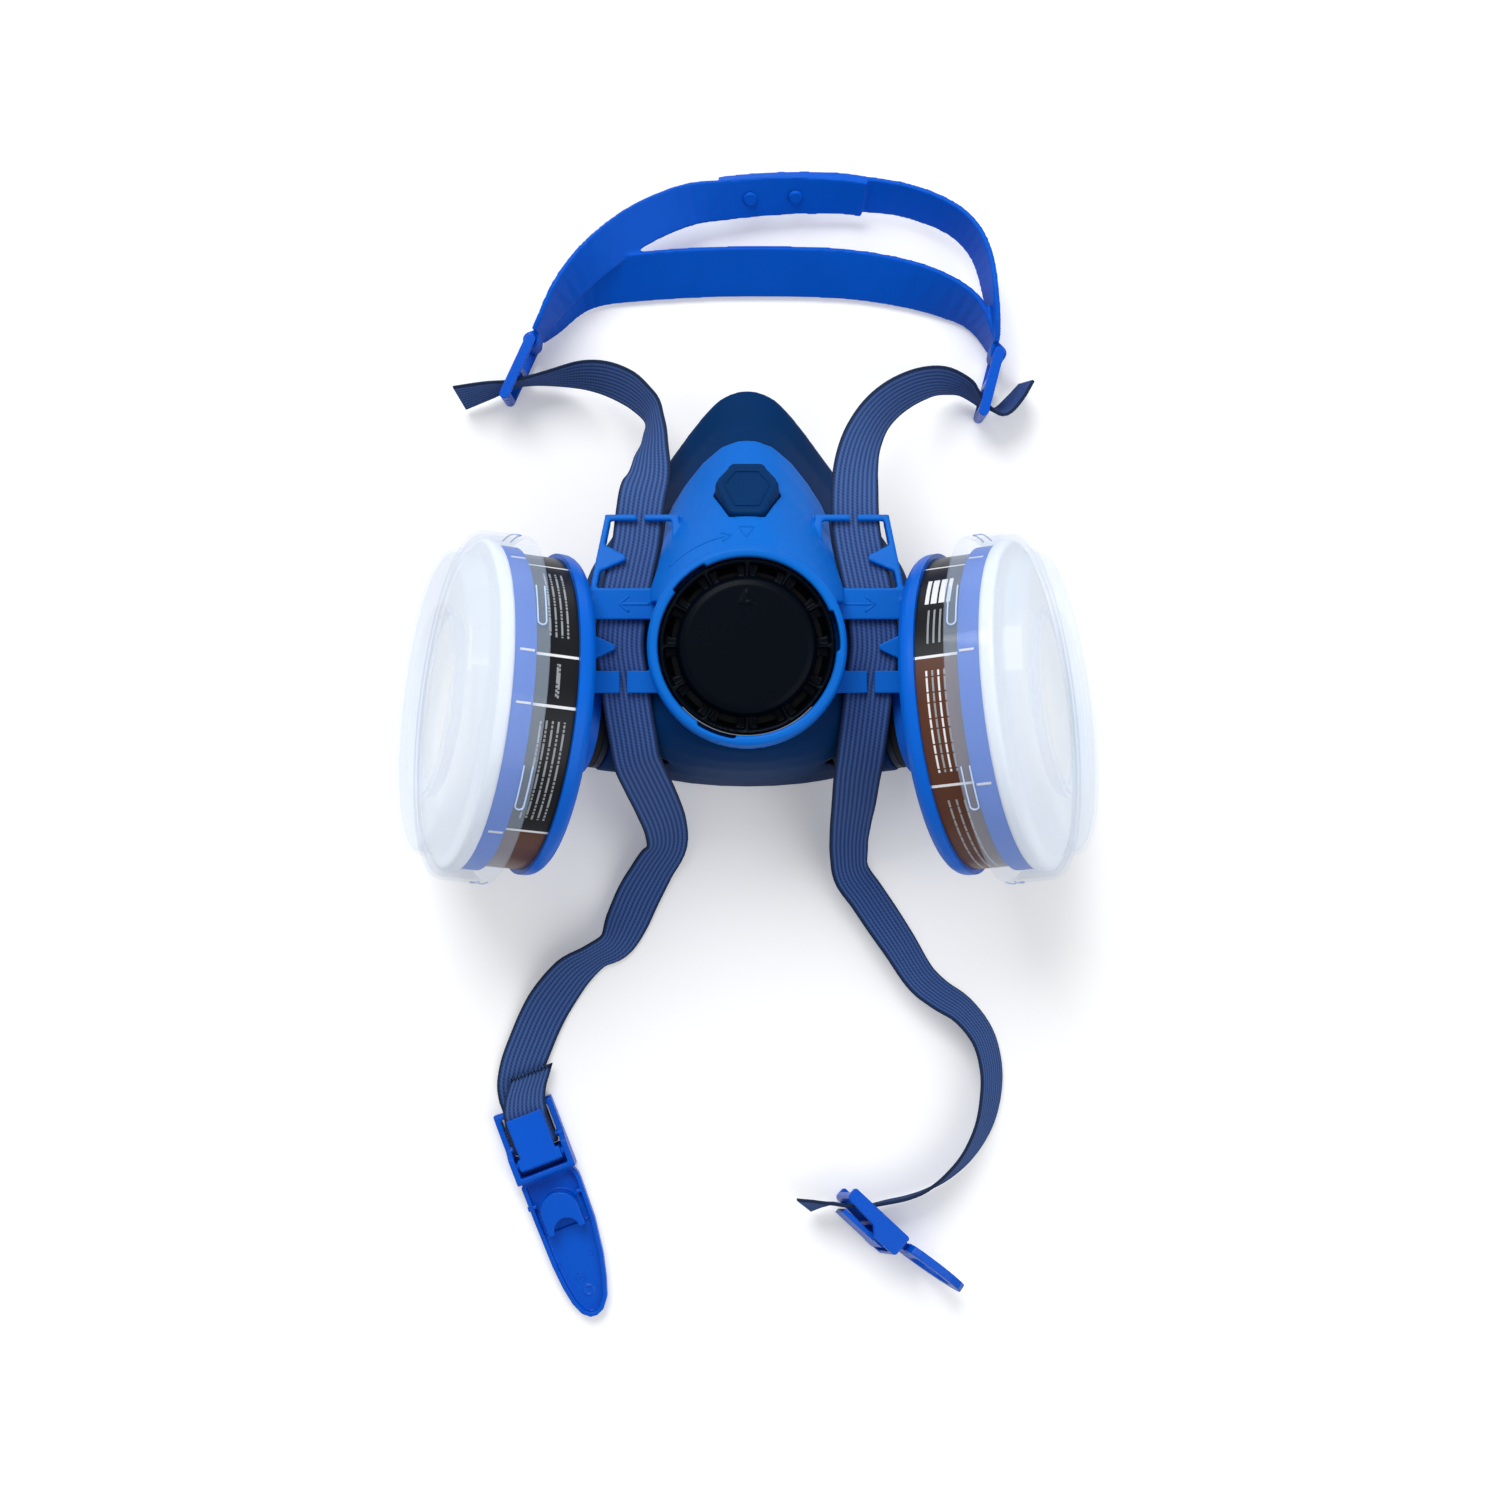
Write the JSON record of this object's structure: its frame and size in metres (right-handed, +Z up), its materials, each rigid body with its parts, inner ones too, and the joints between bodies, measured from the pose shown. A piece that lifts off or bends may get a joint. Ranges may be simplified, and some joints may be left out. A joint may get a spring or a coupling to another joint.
{
  "type": "half-mask respirator",
  "caption": "Reusable half-mask respirator lying face up with twist-on round cartridges, clear filter retainers, an exhalation valve and a spread-out strap harness.",
  "frame": {"origin": "on the surface that the mask lies on, at the middle of the object's outline seen from above", "axes": "+Y from the chin to the nose along the harness, +Z up from the surface out of the exhalation valve, +X to the right seen from above with the nose away; X = 0 is the mask's plane of symmetry"},
  "size_m": [0.2306, 0.3821, 0.1104],
  "materials": {
    "face_rubber": "matte",
    "frame_blue": "satin",
    "valve_black": "satin",
    "valve_silicone": "satin",
    "port_navy": "satin",
    "gasket_rubber": "matte",
    "shell_blue": "satin",
    "label_black": "gloss",
    "label_brown": "gloss",
    "carbon": "granular, matte",
    "filter_white": "matte",
    "clear_plastic": "clear, gloss",
    "webbing": "woven, matte",
    "cradle_blue": "satin",
    "clip_blue": "satin"
  },
  "bodies": {
    "mask": {"facepiece": "face_rubber", "front_frame": "frame_blue", "exhalation_seat": "valve_black", "port_left": "port_navy", "port_right": "port_navy", "gasket_left": "gasket_rubber", "gasket_right": "gasket_rubber", "webbing_left": "webbing", "webbing_right": "webbing", "head_cradle": "cradle_blue", "crown_studs": "cradle_blue", "slider_left": "clip_blue", "slider_right": "clip_blue", "hook_clip": "clip_blue", "eye_clip": "clip_blue"},
    "cartridge_right": {"cartridge_shell_right": "shell_blue", "label_right": "label_brown", "carbon_bed_right": "carbon"},
    "cartridge_left": {"cartridge_shell_left": "shell_blue", "label_left": "label_black", "carbon_bed_left": "carbon"},
    "retainer_cap_right": {"retainer_right": "clear_plastic", "filter_pad_right": "filter_white"},
    "retainer_cap_left": {"retainer_left": "clear_plastic", "filter_pad_left": "filter_white"},
    "cover": {"valve_cover": "valve_black"},
    "exhalation_disc": {"exhalation_flap": "valve_silicone"},
    "inhalation_disc_left": {"inhalation_flap_left": "valve_silicone"},
    "inhalation_disc_right": {"inhalation_flap_right": "valve_silicone"},
    "flap_left": {"adjuster_flap_left": "clip_blue"},
    "flap_right": {"adjuster_flap_right": "clip_blue"}
  },
  "joints": [
    {"name": "cartridge_twist_right", "type": "hinge", "parent": "mask", "child": "cartridge_right", "pos_m": [0.05134, 0.00952, 0.04491], "axis": [0.9385, 0.1152, 0.3256], "range_deg": [0, 60]},
    {"name": "cartridge_twist_left", "type": "hinge", "parent": "mask", "child": "cartridge_left", "pos_m": [-0.05134, 0.00952, 0.04491], "axis": [-0.9385, 0.1152, 0.3256], "range_deg": [0, 60]},
    {"name": "retainer_lift_right", "type": "slide", "parent": "cartridge_right", "child": "retainer_cap_right", "axis": [0.9385, 0.1152, 0.3256], "range_m": [0, 0.025]},
    {"name": "retainer_lift_left", "type": "slide", "parent": "cartridge_left", "child": "retainer_cap_left", "axis": [-0.9385, 0.1152, 0.3256], "range_m": [0, 0.025]},
    {"name": "valve_cover_twist", "type": "hinge", "parent": "mask", "child": "cover", "pos_m": [0, 0.0313, 0.08], "axis": [0, 0, 1], "range_deg": [0, 40]},
    {"name": "exhalation_flap_lift", "type": "slide", "parent": "mask", "child": "exhalation_disc", "axis": [0, 0, 1], "range_m": [0, 0.0015], "stiffness_N_per_m": 50},
    {"name": "inhalation_flap_lift_right", "type": "slide", "parent": "mask", "child": "inhalation_disc_right", "axis": [-0.9385, -0.1152, -0.3256], "range_m": [0, 0.0015], "stiffness_N_per_m": 50},
    {"name": "inhalation_flap_lift_left", "type": "slide", "parent": "mask", "child": "inhalation_disc_left", "axis": [0.9385, -0.1152, -0.3256], "range_m": [0, 0.0015], "stiffness_N_per_m": 50},
    {"name": "adjuster_flap_left_hinge", "type": "hinge", "parent": "mask", "child": "flap_left", "pos_m": [-0.06914, -0.13659, 0.0059], "axis": [0.9342, 0.3567, 0], "range_deg": [0, 75]},
    {"name": "adjuster_flap_right_hinge", "type": "hinge", "parent": "mask", "child": "flap_right", "pos_m": [0.04372, -0.16204, 0.01175], "axis": [0.1653, 0.1766, 0.9703], "range_deg": [0, 75]}
  ]
}
